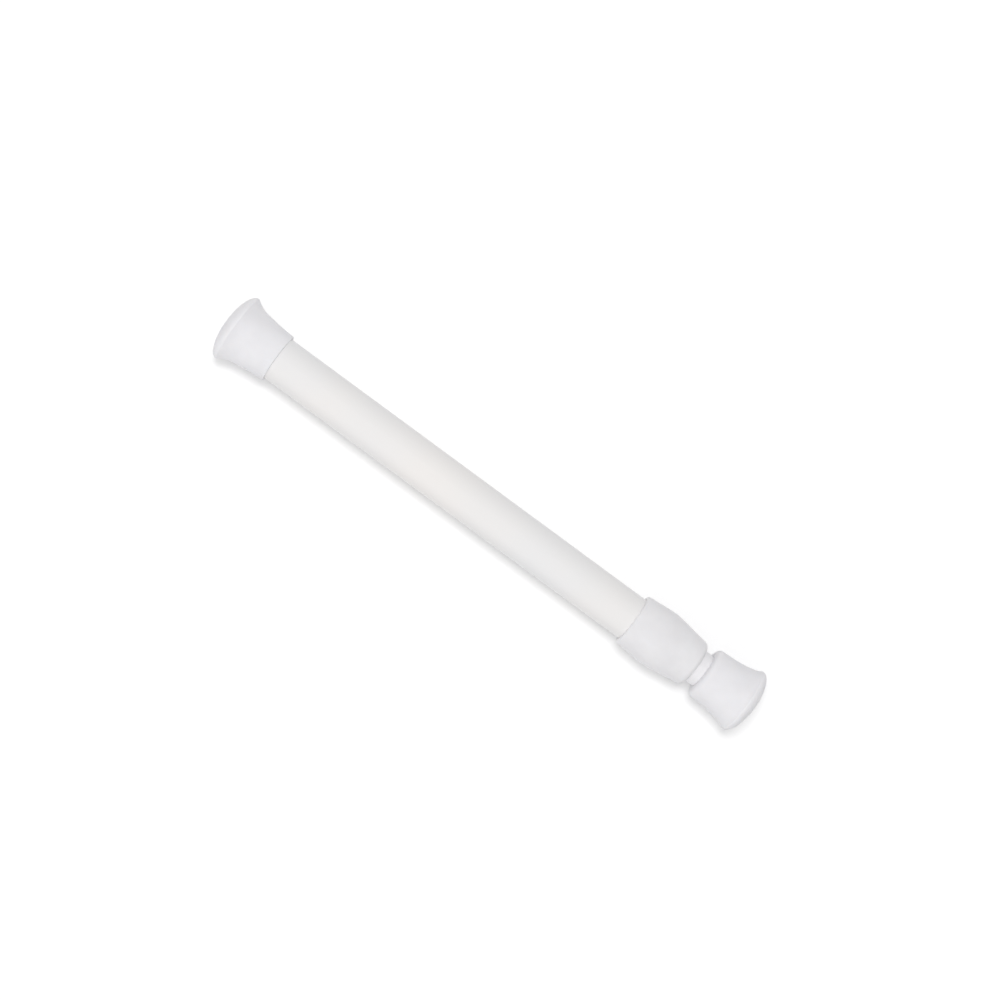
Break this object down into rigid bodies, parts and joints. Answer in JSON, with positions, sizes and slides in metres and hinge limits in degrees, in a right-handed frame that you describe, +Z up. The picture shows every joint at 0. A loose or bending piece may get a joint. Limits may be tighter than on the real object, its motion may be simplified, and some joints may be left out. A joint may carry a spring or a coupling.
{
  "type": "extendable curtain rod",
  "caption": "Spring tension curtain rod: a thin tube telescopes from a thicker one, a twist locks the length, and soft flared feet grip the walls.",
  "frame": {"origin": "middle of the fixed foot's flat wall face, on the rod's axis", "axes": "+X along the rod from the fixed foot to the sliding foot, +Z up"},
  "size_m": [0.18, 0.0202, 0.0202],
  "materials": {
    "outer_tube": "white powder coating on thin steel tube, semi-gloss",
    "inner_tube": "white powder coating on thin steel tube, semi-gloss",
    "foot": "soft white PVC, moulded, satin",
    "collar": "white polypropylene, moulded, soft gloss",
    "guide_ring": "natural acetal, moulded",
    "inner_moulding": "white nylon, moulded",
    "spring_steel": "bright spring steel, lightly oiled",
    "expander": "grey thermoplastic rubber, moulded",
    "wedge_nut": "white nylon, moulded"
  },
  "bodies": {
    "outer": {"outer_tube": "outer_tube", "fixed_foot": "foot", "collar": "collar"},
    "guide": {"guide_ring": "guide_ring"},
    "inner": {"inner_tube": "inner_tube", "sliding_foot": "foot", "end_bush": "inner_moulding", "spring": "spring_steel", "spring_seat": "inner_moulding"},
    "screw": {"lock_screw": "inner_moulding", "tip_clip": "spring_steel", "spring_follower": "inner_moulding"},
    "expander": {"expander": "expander"},
    "wedge": {"wedge_nut": "wedge_nut"}
  },
  "joints": [
    {"name": "extend", "type": "slide", "parent": "outer", "child": "guide", "axis": [1, 0, 0], "range_m": [0, 0.09]},
    {"name": "twist", "type": "hinge", "parent": "guide", "child": "inner", "pos_m": [0.09, 0, 0], "axis": [-1, 0, 0], "range_deg": [0, 360]},
    {"name": "spring_stroke", "type": "slide", "parent": "inner", "child": "screw", "axis": [1, 0, 0], "range_m": [0, 0.018], "stiffness_N_per_m": 1470, "springref_m": -0.003, "deforming": ["spring"]},
    {"name": "lock_turn", "type": "hinge", "parent": "screw", "child": "expander", "pos_m": [0.0266, 0, 0], "axis": [1, 0, 0], "range_deg": [0, 360]},
    {"name": "wedge_travel", "type": "slide", "parent": "expander", "child": "wedge", "axis": [1, 0, 0], "range_m": [0, 0.0025]}
  ],
  "couplings": [
    {"joint": "lock_turn", "follows": "twist", "ratio": 1},
    {"joint": "wedge_travel", "follows": "twist", "m_per_rad": 0.00039788}
  ]
}
